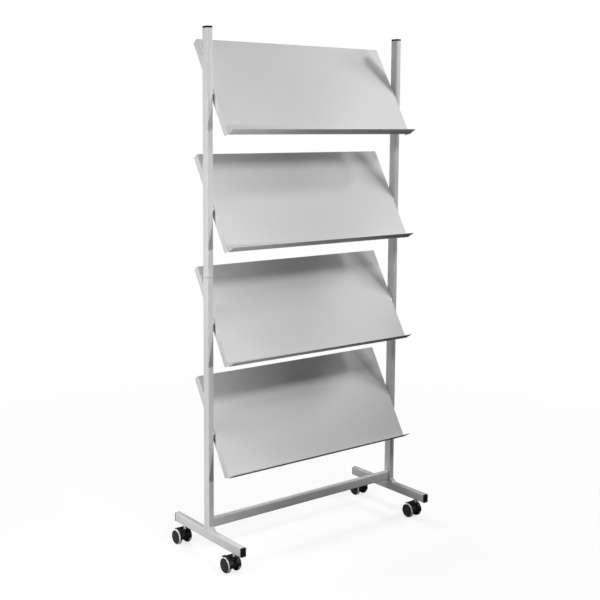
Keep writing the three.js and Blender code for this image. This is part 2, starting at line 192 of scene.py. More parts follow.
def make_rub_group():
    """Where hands and cloths rub: the rounded edges of a piece, broken up by unevenness."""
    group, given, out = new_group("edge_rub", {"Patch mm": 14.0, "Amount": 1.0}, ("Mask",))
    edge = add_node(group, "ShaderNodeAttribute", attribute_name="edge")
    patch = add_node(group, "ShaderNodeMapRange", {"From Min": 0.35, "From Max": 0.65})
    noise = patchy_noise(group, given.outputs["Patch mm"], detail=4.0, roughness=0.6)
    group.links.new(noise, patch.inputs["Value"])
    worn = product(group, edge.outputs["Fac"], patch.outputs["Result"])
    group.links.new(product(group, worn, given.outputs["Amount"]), out.inputs["Mask"])
    return group


def make_dust_group():
    """A thin film of dust on whatever faces up, thicker in patches."""
    group, given, out = new_group("settled_dust", {"Patch mm": 25.0, "Amount": 1.0}, ("Mask",))
    place = add_node(group, "ShaderNodeTexCoord")
    facing = add_node(group, "ShaderNodeSeparateXYZ")
    flat = add_node(group, "ShaderNodeMapRange", {"From Min": 0.55, "From Max": 1.0})
    group.links.new(place.outputs["Normal"], facing.inputs[0])
    group.links.new(facing.outputs["Z"], flat.inputs["Value"])
    noise = patchy_noise(group, given.outputs["Patch mm"], detail=5.0, roughness=0.65)
    lying = product(group, flat.outputs["Result"], noise)
    group.links.new(product(group, lying, given.outputs["Amount"]), out.inputs["Mask"])
    return group


surface_grain = make_grain_group()
edge_rub = make_rub_group()
settled_dust = make_dust_group()


def use_group(tree, group, inputs):
    """A shared node group set into a material, with its input values."""
    return add_node(tree, "ShaderNodeGroup", inputs, node_tree=group)


def tint(tree, group, layer, below):
    """Mixes a layer's colour over what is below it, by a group's mask."""
    masked = use_group(tree, group, {"Patch mm": layer["patch"], "Amount": layer["share"]})
    mix = add_node(tree, "ShaderNodeMix", data_type="RGBA")
    mix.inputs["B"].default_value = (*layer["colour"], 1)
    tree.links.new(masked.outputs["Mask"], mix.inputs["Factor"])
    tree.links.new(below, mix.inputs["A"])
    return mix.outputs["Result"]


def finish_material(
    name, light, dark, rough, bump, fine_mm, broad_mm, metallic=0.0, specular=0.5, rub=None, dust=None,
):
    """A finish with grain: two colours, a roughness range and bump, with rubbed edges and dust if given."""
    material = bpy.data.materials.new(name)
    material.use_nodes = True
    tree = material.node_tree
    shader = tree.nodes["Principled BSDF"]
    shader.inputs["Metallic"].default_value = metallic
    shader.inputs["Specular IOR Level"].default_value = specular
    grain = use_group(tree, surface_grain, {"Fine mm": fine_mm, "Broad mm": broad_mm})
    base = add_node(tree, "ShaderNodeMix", data_type="RGBA")
    base.inputs["A"].default_value = (*light, 1)
    base.inputs["B"].default_value = (*dark, 1)
    spread = add_node(tree, "ShaderNodeMath", operation="ADD")
    half = add_node(tree, "ShaderNodeMath", {1: 0.5}, operation="MULTIPLY")
    tree.links.new(grain.outputs["Fine"], spread.inputs[0])
    tree.links.new(grain.outputs["Broad"], spread.inputs[1])
    tree.links.new(spread.outputs[0], half.inputs[0])
    tree.links.new(half.outputs[0], base.inputs["Factor"])
    colour = base.outputs["Result"]
    for group, layer in ((edge_rub, rub), (settled_dust, dust)):
        if layer:
            colour = tint(tree, group, layer, colour)
    tree.links.new(colour, shader.inputs["Base Color"])
    sheen_range = {"From Min": 0.3, "From Max": 0.7, "To Min": rough[0], "To Max": rough[1]}
    sheen = add_node(tree, "ShaderNodeMapRange", sheen_range)
    tree.links.new(grain.outputs["Fine"], sheen.inputs["Value"])
    tree.links.new(sheen.outputs["Result"], shader.inputs["Roughness"])
    relief = add_node(tree, "ShaderNodeBump", {"Strength": bump["strength"], "Distance": bump["depth"]})
    tree.links.new(grain.outputs["Fine"], relief.inputs["Height"])
    tree.links.new(relief.outputs["Normal"], shader.inputs["Normal"])
    return material


coated_steel = finish_material(
    "coated_steel",
    light=(0.622, 0.627, 0.622),
    dark=(0.580, 0.586, 0.585),
    rough=(0.40, 0.54),
    bump={"strength": 0.35, "depth": 0.05 * MM},
    fine_mm=1.6,
    broad_mm=90,
    rub={"patch": 18, "share": 0.12, "colour": (0.72, 0.725, 0.72)},
    dust={"patch": 30, "share": 0.10, "colour": (0.66, 0.65, 0.62)},
)

for side_name, side in SIDES.items():
    foot_ends = [Vector((side * UPRIGHT_X, end * FOOT_HALF, FOOT_Z)) for end in ENDS.values()]
    foot_tube = steel_tube(*foot_ends, X, Z, TUBE_NARROW, TUBE_WIDE)
    replaced = [f"foot_{side_name}"]
    add_piece(f"foot_tube_{side_name}", [foot_tube], coated_steel, "frame", replaced)

# Foot plugs: black moulded plastic, pressed into the open ends of the feet.
# The head covers the sawn edge and has a rounded rim and a shallow sunk face; the body grips in the bore.
PLUG_HEAD = 4 * MM
PLUG_DEPTH = 12.8 * MM
PLUG_PLAY = 0.2 * MM
PLUG_ROUND = 1.2 * MM
PLUG_FACE_RIM = 2.6 * MM
PLUG_FACE_SINK = 0.5 * MM
PLUG_LEAST_CORNER = 0.6 * MM
ROUND_STEPS = 5
BORE_NARROW = TUBE_NARROW - 2 * TUBE_WALL - 2 * PLUG_PLAY
BORE_WIDE = TUBE_WIDE - 2 * TUBE_WALL - 2 * PLUG_PLAY

black_plastic = finish_material(
    "black_plastic",
    light=(0.016, 0.016, 0.017),
    dark=(0.008, 0.008, 0.0085),
    rough=(0.38, 0.56),
    bump={"strength": 0.3, "depth": 0.06 * MM},
    fine_mm=0.7,
    broad_mm=25,
    specular=0.3,
    rub={"patch": 6, "share": 0.4, "colour": (0.040, 0.040, 0.041)},
    dust={"patch": 12, "share": 0.08, "colour": (0.16, 0.155, 0.145)},
)


def inset_outline(inset):
    """The tube's outline drawn in by an amount all round."""
    corner = max(TUBE_CORNER - inset, PLUG_LEAST_CORNER)
    return rounded_outline(TUBE_NARROW - 2 * inset, TUBE_WIDE - 2 * inset, corner)


def plug_body(mouth, out, across, up):
    """The rings of a plug's body inside the tube, up to the tube's mouth."""
    bore = rounded_outline(BORE_NARROW, BORE_WIDE, TUBE_CORNER - TUBE_WALL)
    return [ring_at(mouth - out * depth, bore, across, up) for depth in (PLUG_DEPTH, 0)]


def foot_plug(mouth, out, across, up):
    rings = plug_body(mouth, out, across, up)
    rings.append(ring_at(mouth, inset_outline(0), across, up))
    for step in range(ROUND_STEPS + 1):
        angle = math.pi / 2 * step / ROUND_STEPS
        inset = PLUG_ROUND * (1 - math.cos(angle))
        rise = PLUG_HEAD - PLUG_ROUND * (1 - math.sin(angle))
        rings.append(ring_at(mouth + out * rise, inset_outline(inset), across, up))
    rings.append(ring_at(mouth + out * PLUG_HEAD, inset_outline(PLUG_FACE_RIM), across, up))
    sunk = inset_outline(PLUG_FACE_RIM + PLUG_FACE_SINK)
    rings.append(ring_at(mouth + out * (PLUG_HEAD - PLUG_FACE_SINK), sunk, across, up))
    return loft(rings)


for side_name, side in SIDES.items():
    for end_name, end in ENDS.items():
        mouth = Vector((side * UPRIGHT_X, end * FOOT_HALF, FOOT_Z))
        plug = foot_plug(mouth, Y * end, X, Z)
        add_piece(
            f"foot_end_plug_{side_name}_{end_name}", [plug], black_plastic, "frame",
            [f"foot_plug_{side_name}_{end_name}"],
        )

# Uprights: rectangular steel tube welded to the middle of each foot, in two lengths with a sleeve inside.
# The joint shows as a fine line. A weld fills the corner in front of and behind the tube, under the coating.
UPRIGHT_TOP = 1694 * MM
UPRIGHT_JOINT = 923 * MM
JOINT_HALF_GAP = 0.4 * MM
WELD_LEG_UP = 12.5 * MM
WELD_LEG_OUT = 14.5 * MM
WELD_HALF = 9.0 * MM
WELD_SUNK = 0.6 * MM
WELD_RIPPLE = 0.16 * MM
WELD_RIPPLES = 7
WELD_STATIONS = 43
WELD_CURVE = 9
WELD_END_ROUND = 0.12
WELD_END_SIZE = 0.72
WELD_SWELL = 0.05


def weld_bead(corner, along, out, up, half, leg_out, leg_up):
    """A fillet weld in the corner of two faces: nearly flat, faintly rippled, rounded off at both ends."""
    rings = []
    for station in range(WELD_STATIONS):
        share = station / (WELD_STATIONS - 1)
        from_end = min(min(share, 1 - share) / WELD_END_ROUND, 1.0)
        taper = WELD_END_SIZE + (1 - WELD_END_SIZE) * math.sqrt(1 - (1 - from_end) ** 2)
        ripple = WELD_RIPPLE * math.cos(2 * math.pi * WELD_RIPPLES * share)
        centre = corner + along * (half * (2 * share - 1))
        ring = [(centre - out * WELD_SUNK - up * WELD_SUNK, 0.0)]
        for step in range(WELD_CURVE):
            across = step / (WELD_CURVE - 1)
            bulge = 4 * across * (1 - across)
            foot_out = leg_out * taper * (1 - across + WELD_SWELL * bulge) + ripple * bulge
            foot_up = leg_up * taper * (across + WELD_SWELL * bulge) + ripple * bulge
            ring.append((centre + out * foot_out + up * foot_up, bulge))
        rings.append(ring)
    return loft(rings)


for side_name, side in SIDES.items():
    column = Vector((side * UPRIGHT_X, 0, 0))
    lengths = {
        "lower": (FOOT_TOP, UPRIGHT_JOINT - JOINT_HALF_GAP),
        "upper": (UPRIGHT_JOINT + JOINT_HALF_GAP, UPRIGHT_TOP),
    }
    for length_name, (bottom, top) in lengths.items():
        length = steel_tube(column + Z * bottom, column + Z * top, X, Y, TUBE_NARROW, TUBE_WIDE)
        add_piece(
            f"upright_tube_{length_name}_{side_name}", [length], coated_steel, "frame",
            [f"upright_{length_name}_{side_name}"],
        )
    beads = []
    for end in ENDS.values():
        corner = column + Y * (end * TUBE_WIDE / 2) + Z * FOOT_TOP
        beads.append(weld_bead(corner, X, Y * end, Z, WELD_HALF, WELD_LEG_OUT, WELD_LEG_UP))
    add_piece(f"upright_weld_{side_name}", beads, coated_steel, "frame")

# Upright caps: matt black moulded plastic plugs pressed into the top of each upright.
# The head is as wide as the tube, with a short straight wall and a low domed top.
CAP_WALL_RISE = 5.0 * MM
CAP_HEAD = 6 * MM
CAP_DOME_INSET = 4 * MM
CAP_DOME_STEPS = 8
CAP_DOME_SWEEP = math.radians(82)

cap_plastic = finish_material(
    "cap_plastic",
    light=(0.009, 0.009, 0.0095),
    dark=(0.005, 0.005, 0.0055),
    rough=(0.58, 0.76),
    bump={"strength": 0.3, "depth": 0.06 * MM},
    fine_mm=0.7,
    broad_mm=25,
    specular=0.12,
    dust={"patch": 12, "share": 0.05, "colour": (0.08, 0.078, 0.073)},
)


def domed_cap(mouth):
    rings = plug_body(mouth, Z, X, Y)
    for step in range(-1, CAP_DOME_STEPS + 1):
        angle = CAP_DOME_SWEEP * max(step, 0) / CAP_DOME_STEPS
        inset = CAP_DOME_INSET * (1 - math.cos(angle))
        rise = CAP_WALL_RISE + (CAP_HEAD - CAP_WALL_RISE) * math.sin(angle) / math.sin(CAP_DOME_SWEEP)
        rings.append(ring_at(mouth + Z * (rise if step >= 0 else 0), inset_outline(inset), X, Y))
    return loft(rings)


for side_name, side in SIDES.items():
    cap = domed_cap(Vector((side * UPRIGHT_X, 0, UPRIGHT_TOP)))
    add_piece(
        f"upright_top_cap_{side_name}", [cap], cap_plastic, "frame",
        [f"upright_cap_{side_name}"],
    )

# Sleeves: short lengths of zinc-plated steel tube that slide inside the uprights across their joints.
# The sleeve's zinc is coloured near black as painted shade, so each joint's hairline gap reads as a shadow
# line.
# Only a hairline shows, so the CAD shape stays under a new finish.
joint_shade_zinc = finish_material(
    "joint_shade_zinc",
    light=(0.075, 0.075, 0.078),
    dark=(0.045, 0.045, 0.048),
    rough=(0.50, 0.66),
    bump={"strength": 0.25, "depth": 0.03 * MM},
    fine_mm=0.9,
    broad_mm=8,
    dust={"patch": 8, "share": 0.1, "colour": (0.10, 0.09, 0.08)},
)


def dress_node(node_name, material):
    """Gives a CAD node that keeps its shape a better finish."""
    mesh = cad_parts[node_name].data
    mesh.materials.clear()
    mesh.materials.append(material)


for side_name in SIDES:
    # Each sleeve gets the near-black painted shade finish, which darkens its joint gap.
    dress_node(f"upright_sleeve_{side_name}", joint_shade_zinc)

# Cross bar: the same tube lying along the rack between the uprights, welded to an end plate at each side.
# Each plate is bolted to the upright with one round-headed screw and to the foot with another.
BAR_Z = 121 * MM
PLATE_THICK = 3 * MM
PLATE_WIDE = 20 * MM
PLATE_HIGH = 66 * MM
PLATE_SOFT = 0.5 * MM
INNER_FACE = UPRIGHT_X - TUBE_NARROW / 2
PLATE_FACE = INNER_FACE - PLATE_THICK
BAR_WELD_LEG = 3 * MM
BAR_WELD_HALF = 8 * MM

zinc_steel = finish_material(
    "zinc_steel",
    light=(0.86, 0.87, 0.88),
    dark=(0.74, 0.75, 0.76),
    rough=(0.30, 0.48),
    bump={"strength": 0.25, "depth": 0.03 * MM},
    fine_mm=0.9,
    broad_mm=8,
    metallic=0.35,
    dust={"patch": 8, "share": 0.1, "colour": (0.30, 0.29, 0.27)},
)

bar_ends = [Vector((side * PLATE_FACE, 0, BAR_Z)) for side in SIDES.values()]
bar_tube = steel_tube(*bar_ends, Y, Z, TUBE_NARROW, TUBE_WIDE)
add_piece("cross_bar_tube", [bar_tube], coated_steel, "frame", ["cross_bar"])

SCREW_SPREAD = 26.5 * MM
SCREW_HEAD_RADIUS = 5.2 * MM
SCREW_HEAD_HIGH = 3 * MM
SCREW_WALL_HIGH = 0.9 * MM
SCREW_DOME_SWEEP = math.radians(70)
SCREW_TOP_SHARE = 0.35
SCREW_PLAY = 0.1 * MM
SCREW_SHANK_RADIUS = 2.9 * MM
SCREW_SHANK = 8 * MM
SOCKET_HALF = 2 * MM
SOCKET_MOUTH_HALF = 2.12 * MM
SOCKET_LEAD_IN = 0.2 * MM
SOCKET_DEPTH = 1.7 * MM
TURN_STEPS = 48


def turned_ring(centre, across, up, radius, six_sided=False):
    """A circle of points, or a hexagon with as many points, radius being half its width across flats."""
    ring = []
    for step in range(TURN_STEPS):
        angle = 2 * math.pi * step / TURN_STEPS
        reach = radius
        if six_sided:
            reach = radius / math.cos((angle % (math.pi / 3)) - math.pi / 6)
        ring.append((centre + across * (reach * math.cos(angle)) + up * (reach * math.sin(angle)), 0.0))
    return ring


def round_head_screw(seat, out):
    """A screw with a rounded head and a hexagon socket; seat is the point under its head."""
    stations = [(-SCREW_SHANK - PLATE_THICK, SCREW_SHANK_RADIUS, False), (0, SCREW_SHANK_RADIUS, False)]
    stations += [(0, SCREW_HEAD_RADIUS, False), (SCREW_WALL_HIGH, SCREW_HEAD_RADIUS, False)]
    dome_high = SCREW_HEAD_HIGH - SCREW_WALL_HIGH
    for step in range(1, ROUND_STEPS + 1):
        angle = SCREW_DOME_SWEEP * step / ROUND_STEPS
        rise = SCREW_WALL_HIGH + dome_high * math.sin(angle) / math.sin(SCREW_DOME_SWEEP)
        share = SCREW_TOP_SHARE + (1 - SCREW_TOP_SHARE) * math.cos(angle)
        stations.append((rise, SCREW_HEAD_RADIUS * share, False))
    for depth, half in ((0, SOCKET_MOUTH_HALF), (SOCKET_LEAD_IN, SOCKET_HALF), (SOCKET_DEPTH, SOCKET_HALF)):
        stations.append((SCREW_HEAD_HIGH - depth, half, True))
    return loft([turned_ring(seat + out * along, Y, Z, radius, six) for along, radius, six in stations])


for side_name, side in SIDES.items():
    plate_rings = []
    for depth, inset in ((0, 0), (PLATE_THICK - PLATE_SOFT, 0), (PLATE_THICK, PLATE_SOFT)):
        centre = Vector((side * (INNER_FACE - depth), 0, BAR_Z))
        outline = rounded_outline(PLATE_WIDE - 2 * inset, PLATE_HIGH - 2 * inset, TUBE_CORNER - inset)
        plate_rings.append(ring_at(centre, outline, Y, Z))
    add_piece(
        f"bar_end_plate_{side_name}", [loft(plate_rings)], coated_steel, "frame",
        [f"bar_plate_{side_name}"],
    )
    bar_beads = []
    for way in (-1, 1):
        corner = Vector((side * PLATE_FACE, 0, BAR_Z + way * TUBE_WIDE / 2))
        legs = (BAR_WELD_LEG, BAR_WELD_LEG)
        bar_beads.append(weld_bead(corner, Y, X * -side, Z * way, BAR_WELD_HALF, *legs))
    add_piece(f"bar_weld_{side_name}", bar_beads, coated_steel, "frame")
    for place_name, way in (("lower", -1), ("upper", 1)):
        seat = Vector((side * (PLATE_FACE - SCREW_PLAY), 0, BAR_Z + way * SCREW_SPREAD))
        screw = round_head_screw(seat, X * -side)
        add_piece(
            f"bar_round_screw_{side_name}_{place_name}", [screw], zinc_steel, "frame",
            [f"bar_screw_{side_name}_{place_name}"],
        )

# Shelves: each is one sheet of thin steel, cut and folded, then powder coated with the rest.
# The panel leans back; its front edge folds up into a lip, its sides and top edge fold back into flanges.
SHELF_COUNT = 4
SHELF_PITCH = 360 * MM
TOP_SHELF_Z = 1505.6 * MM
SHELF_TILT = math.radians(59.2)
SHELF_HALF = 381 * MM
SHELF_REAR = 182 * MM
SHELF_FRONT = -164 * MM
SHELF_FACE = 9.5 * MM
SHEET = 1.2 * MM
INNER_BEND = 1.2 * MM
OUTER_BEND = INNER_BEND + SHEET
LIP_LONG = 35 * MM
LIP_TOP = SHELF_FACE - SHEET + LIP_LONG
FLANGE_LONG = 21 * MM
FLANGE_END = SHELF_FACE - FLANGE_LONG
FLANGE_CUTBACK = 4 * MM
CORNER_RELIEF = 0.5 * MM
BEND_STEPS = 6
SHEET_SOFT = 0.3 * MM
CUT_EDGE_ANGLE = math.radians(50)


def fold_path(radius, rise, flat_end):
    """Steps of a fold from the panel's edge: how far out and up, the face's normal (out, up), its bend."""
    steps = []
    for step in range(BEND_STEPS + 1):
        angle = math.pi / 2 * step / BEND_STEPS
        out, up = radius * math.sin(angle), rise * radius * (1 - math.cos(angle))
        steps.append((out, up, -rise * math.sin(angle), math.cos(angle), math.sin(2 * angle)))
    steps.append((radius, flat_end, -rise, 0.0, 0.0))
    return steps


def folded_sheet():
    """A shelf lying flat: the sheet's face with its folds, and its back one sheet's thickness behind."""
    shape = bmesh.new()
    edge = shape.verts.layers.float.new("edge")
    fronts, backs = [], []

    def corner(x, y, z, normal, bend=0.0):
        for row, depth in ((fronts, 0), (backs, SHEET)):
            vert = shape.verts.new(Vector((x, y, z)) - normal * depth)
            vert[edge] = bend
            row.append(vert)
        return len(fronts) - 1

    panel_half = SHELF_HALF - OUTER_BEND
    front, rear = SHELF_FRONT + OUTER_BEND, SHELF_REAR - OUTER_BEND
    side_spots = (front, front + CORNER_RELIEF, rear - CORNER_RELIEF, rear)
    panel = {(side, y): corner(side * panel_half, y, SHELF_FACE, Z) for side in (-1, 1) for y in side_spots}
    faces = [[panel[-1, y] for y in reversed(side_spots)] + [panel[1, y] for y in side_spots]]

    lip_xs = (-SHELF_HALF, -panel_half, panel_half, SHELF_HALF)
    lip_rows = []
    for step, (out, up, out_n, up_n, bend) in enumerate(fold_path(INNER_BEND, 1, LIP_TOP - SHELF_FACE)):
        normal = Vector((0, -out_n, up_n))
        row = [corner(x, front - out, SHELF_FACE + up, normal, bend) for x in lip_xs]
        if step == 0:
            row[1], row[2] = panel[-1, front], panel[1, front]
        lip_rows.append(row)
    for low, high in zip(lip_rows, lip_rows[1:]):
        faces += [[low[i + 1], low[i], high[i], high[i + 1]] for i in range(3)]

    back_fold = fold_path(OUTER_BEND, -1, FLANGE_END - SHELF_FACE)
    rows = [[panel[-1, rear], panel[1, rear]]]
    for out, up, out_n, up_n, bend in back_fold[1:]:
        normal = Vector((0, out_n, up_n))
        ends = (-panel_half, panel_half)
        rows.append([corner(x, rear + out, SHELF_FACE + up, normal, bend) for x in ends])
    faces += [[low[0], low[1], high[1], high[0]] for low, high in zip(rows, rows[1:])]

    for side in (-1, 1):
        rows = [[panel[side, side_spots[1]], panel[side, side_spots[2]]]]
        for step, (out, up, out_n, up_n, bend) in enumerate(back_fold[1:], 1):
            normal = Vector((side * out_n, 0, up_n))
            cutback = FLANGE_CUTBACK if step > BEND_STEPS else 0
            ends = (side_spots[1] + cutback, side_spots[2])
            x = side * (panel_half + out)
            rows.append([corner(x, y, SHELF_FACE + up, normal, bend) for y in ends])
        faces += [[low[0], low[1], high[1], high[0]][::side] for low, high in zip(rows, rows[1:])]

    edges_used = {}
    for face in faces:
        shape.faces.new([fronts[i] for i in face])
        shape.faces.new([backs[i] for i in reversed(face)])
        for a, b in zip(face, face[1:] + face[:1]):
            edges_used[frozenset((a, b))] = edges_used.get(frozenset((a, b)), 0) + 1
    for face in faces:
        for a, b in zip(face, face[1:] + face[:1]):
            if edges_used[frozenset((a, b))] == 1:
                shape.faces.new((fronts[b], fronts[a], backs[a], backs[b]))
    bmesh.ops.delete(shape, geom=[v for v in shape.verts if not v.link_faces], context="VERTS")
    bmesh.ops.recalc_face_normals(shape, faces=shape.faces)
    cut_edges = [e for e in shape.edges if e.calc_face_angle(0) > CUT_EDGE_ANGLE]
    bmesh.ops.bevel(
        shape, geom=cut_edges, offset=SHEET_SOFT, offset_type="OFFSET", segments=2, profile=0.5,
        affect="EDGES", clamp_overlap=True,
    )
    return shape


def shelf_place(number):
    height = TOP_SHELF_Z - (number - 1) * SHELF_PITCH
    return Matrix.Translation(Z * height) @ Matrix.Rotation(SHELF_TILT, 4, "X")


for number in range(1, SHELF_COUNT + 1):
    sheet = folded_sheet()
    sheet.transform(shelf_place(number))
    add_piece(f"shelf_sheet_{number}", [sheet], coated_steel, "frame", [f"shelf_{number}"])

# Shelf fixings: a spacer plate between flange and upright at each shelf end, two threaded studs and two nuts.
# They are zinc-plated steel; the nuts are tightened from inside the flange, behind the panel.
SPACER_LONG = 36 * MM
SPACER_WIDE = 14 * MM
SPACER_CORNER = 5 * MM
SPACER_SOFT = 0.4 * MM
FIXING_GAP = 0.2 * MM
STUD_SPREAD = 12 * MM
STUD_RADIUS = 3 * MM
STUD_ROOT = 2.6 * MM
STUD_PITCH = 1 * MM
STUD_END = 2 * MM
STUD_REACH = 6 * MM
NUT_HALF = 4.9 * MM
NUT_HIGH = 5 * MM
NUT_CHAMFER = 0.7 * MM


def threaded_rod(start, end, across, up):
    """A rod with a thread cut as rings."""
    along = (end - start).normalized()
    turns = int((end - start).length / STUD_PITCH)
    rings = []
    for turn in range(turns):
        rings.append(turned_ring(start + along * (turn * STUD_PITCH), across, up, STUD_ROOT))
        rings.append(turned_ring(start + along * ((turn + 0.5) * STUD_PITCH), across, up, STUD_RADIUS))
    rings.append(turned_ring(end, across, up, STUD_ROOT))
    return loft(rings)


def hexagon_nut(face, out, across, up):
    """A nut standing out from the face it is tightened on, with its corners turned off."""
    stations = (
        (0, NUT_HALF - NUT_CHAMFER, False),
        (NUT_CHAMFER / 2, NUT_HALF, True),
        (NUT_HIGH - NUT_CHAMFER / 2, NUT_HALF, True),
        (NUT_HIGH, NUT_HALF - NUT_CHAMFER, False),
    )
    return loft([turned_ring(face + out * rise, across, up, radius, six) for rise, radius, six in stations])


def shelf_fixing(side):
    spacer_rings = []
    low, high = SHELF_HALF + FIXING_GAP, INNER_FACE - FIXING_GAP
    near, far = low + SPACER_SOFT, high - SPACER_SOFT
    for along, inset in ((low, SPACER_SOFT), (near, 0), (far, 0), (high, SPACER_SOFT)):
        outline = rounded_outline(SPACER_LONG - 2 * inset, SPACER_WIDE - 2 * inset, SPACER_CORNER)
        spacer_rings.append(ring_at(X * (side * along), outline, Y, Z))
    shapes = [loft(spacer_rings)]
    flange_inside = SHELF_HALF - SHEET - FIXING_GAP
    for way in (-1, 1):
        spot = Y * (way * STUD_SPREAD)
        nut_face = spot + X * (side * flange_inside)
        shapes.append(hexagon_nut(nut_face, X * -side, Y, Z))
        inner_end = spot + X * (side * (flange_inside - NUT_HIGH - STUD_END))
        outer_end = spot + X * (side * (INNER_FACE + STUD_REACH))
        shapes.append(threaded_rod(inner_end, outer_end, Y, Z))
    return shapes


for number in range(1, SHELF_COUNT + 1):
    for side_name, side in SIDES.items():
        fixing = shelf_fixing(side)
        for shape in fixing:
            shape.transform(shelf_place(number))
        add_piece(
            f"shelf_bolts_{number}_{side_name}", fixing, zinc_steel, "frame",
            [f"shelf_fixing_{number}_{side_name}"],
        )

# Castor stems: turned steel, zinc plated. A bare length shows between hood and foot under a round flange.
# The thin pin below it turns in the hood; the thread above goes through the foot's wall to a nut inside.
CORNERS = {"front_left": (-1, -1), "front_right": (1, -1), "rear_left": (-1, 1), "rear_right": (1, 1)}
BRAKED = ("front_left", "rear_right")
STEM_Y = 145 * MM
PIN_RADIUS = 4 * MM
PIN_BOTTOM = 30 * MM
STEM_RADIUS = 5 * MM
STEM_BOTTOM = 56.5 * MM
STEM_TOP = 84 * MM
FLANGE_RADIUS = 9 * MM
FLANGE_BOTTOM = 66.5 * MM
FLANGE_TOP = 68.9 * MM
TURNED_EDGE = 0.4 * MM
STEM_NUT_BOTTOM = 70.7 * MM
STEM_NUT_TOP = 76.7 * MM
STEM_NUT_HALF = 7.1 * MM


def castor_stem(foot):
    stations = (
        (PIN_BOTTOM, PIN_RADIUS - TURNED_EDGE, False),
        (PIN_BOTTOM + TURNED_EDGE, PIN_RADIUS, False),
        (STEM_BOTTOM, PIN_RADIUS, False),
        (STEM_BOTTOM, STEM_RADIUS - TURNED_EDGE, False),
        (STEM_BOTTOM + TURNED_EDGE, STEM_RADIUS, False),
        (FLANGE_BOTTOM, STEM_RADIUS, False),
        (FLANGE_BOTTOM, FLANGE_RADIUS - TURNED_EDGE, False),
        (FLANGE_BOTTOM + TURNED_EDGE, FLANGE_RADIUS, False),
        (FLANGE_TOP - TURNED_EDGE, FLANGE_RADIUS, False),
        (FLANGE_TOP, FLANGE_RADIUS - TURNED_EDGE, False),
        (FLANGE_TOP, PIN_RADIUS, False),
        (STEM_NUT_BOTTOM, PIN_RADIUS, False),
        (STEM_NUT_BOTTOM, STEM_NUT_HALF, True),
        (STEM_NUT_TOP, STEM_NUT_HALF, True),
        (STEM_NUT_TOP, PIN_RADIUS, False),
        (STEM_TOP, PIN_RADIUS, False),
    )
    return loft([turned_ring(foot + Z * rise, X, Y, radius, six) for rise, radius, six in stations])


stem_feet = {corner: Vector((side * UPRIGHT_X, end * STEM_Y, 0)) for corner, (side, end) in CORNERS.items()}
for corner, foot in stem_feet.items():
    add_piece(
        f"castor_pin_{corner}", [castor_stem(foot)], zinc_steel, "frame",
        [f"castor_stem_{corner}"],
    )

# Castor hoods: black moulded plastic. A mudguard curves over the front and top of both wheels, and the web
# between them holds the axle below and a bored neck for the stem above, so the castor swivels under the foot.
# The two braked ones have a pair of ears under the guard for the pedal's pin.
TRAIL = 21 * MM
WHEEL_RADIUS = 25 * MM
AXLE_BOSS = 8 * MM
AXLE_BOSS_HALF = 12.5 * MM
AXLE_BORE = 4.2 * MM
WEB_HALF = 6.3 * MM
WEB_RADIUS = 27.3 * MM
GUARD_HALF = 21 * MM
GUARD_INNER = 26.4 * MM
GUARD_OUTER = 28.8 * MM
GUARD_EDGE = 1.1 * MM
GUARD_STEPS = 40
GUARD_REAR = math.radians(62)
GUARD_FRONT = math.radians(186)
NECK_RADIUS = 7.5 * MM
NECK_BOTTOM = 22 * MM
NECK_TOP = 56 * MM
NECK_SOFT = 0.8 * MM
PIN_BORE = 4.3 * MM
BORE_PAST = 1 * MM
PEDAL_PIVOT = (34 * MM, 40 * MM)
PEDAL_PIN_BORE = 1.8 * MM
EAR_INNER = 8.2 * MM
EAR_OUTER = 11.8 * MM
EAR_RADIUS = 4.2 * MM
EAR_ROOT = (28.4 * MM, 51 * MM)
EAR_ROOT_RADIUS = 1.6 * MM


def axle_of(foot):
    return foot + Y * TRAIL + Z * WHEEL_RADIUS


def round_bar(start, end, across, up, radius, soft=0.0):
    """A round bar between two points, with its rims turned off by the soft amount."""
    along = (end - start).normalized()
    stations = [(start, radius), (end, radius)]
    if soft > 0:
        stations = [(start + along * soft, radius), (end - along * soft, radius)]
        stations = [(start, radius - soft), *stations, (end, radius - soft)]
    return loft([turned_ring(centre, across, up, reach) for centre, reach in stations])


def mudguard(axle):
    """The curved guard, its long edges rounded over."""
    thick = GUARD_OUTER - GUARD_INNER
    outline = rounded_outline(2 * GUARD_HALF, thick, GUARD_EDGE)
    rings = []
    for step in range(GUARD_STEPS + 1):
        angle = GUARD_REAR + (GUARD_FRONT - GUARD_REAR) * step / GUARD_STEPS
        outward = Y * math.cos(angle) + Z * math.sin(angle)
        rings.append(ring_at(axle + outward * (GUARD_INNER + thick / 2), outline, X, outward))
    return loft(rings)


def hood_web(axle):
    """The plate between the wheels: a sector up to the guard, drawn side on."""
    outline = [axle]
    for step in range(GUARD_STEPS + 1):
        angle = GUARD_REAR + (GUARD_FRONT - GUARD_REAR) * step / GUARD_STEPS
        outline.append(axle + (Y * math.cos(angle) + Z * math.sin(angle)) * WEB_RADIUS)
    return loft([[(point + X * offset, 0.0) for point in outline] for offset in (-WEB_HALF, WEB_HALF)])


def pedal_ear(foot, way):
    """One ear: round about the pedal's pin and narrowing to its root under the guard."""
    pivot, root = Vector(PEDAL_PIVOT), Vector(EAR_ROOT)
    lean = math.atan2(root.y - pivot.y, root.x - pivot.x)
    open_angle = math.acos((EAR_RADIUS - EAR_ROOT_RADIUS) / (root - pivot).length)
    ends = (
        (pivot, EAR_RADIUS, open_angle, 2 * math.pi - open_angle),
        (root, EAR_ROOT_RADIUS, -open_angle, open_angle),
    )
    outline = []
    for centre, radius, first, last in ends:
        for step in range(TURN_STEPS // 2 + 1):
            angle = lean + first + (last - first) * step / (TURN_STEPS // 2)
            outline.append(centre + Vector((math.cos(angle), math.sin(angle))) * radius)
    rings = []
    for across in (EAR_INNER, EAR_OUTER):
        rings.append([(foot + X * (way * across) + Y * y + Z * z, 0.0) for y, z in outline])
    return loft(rings)


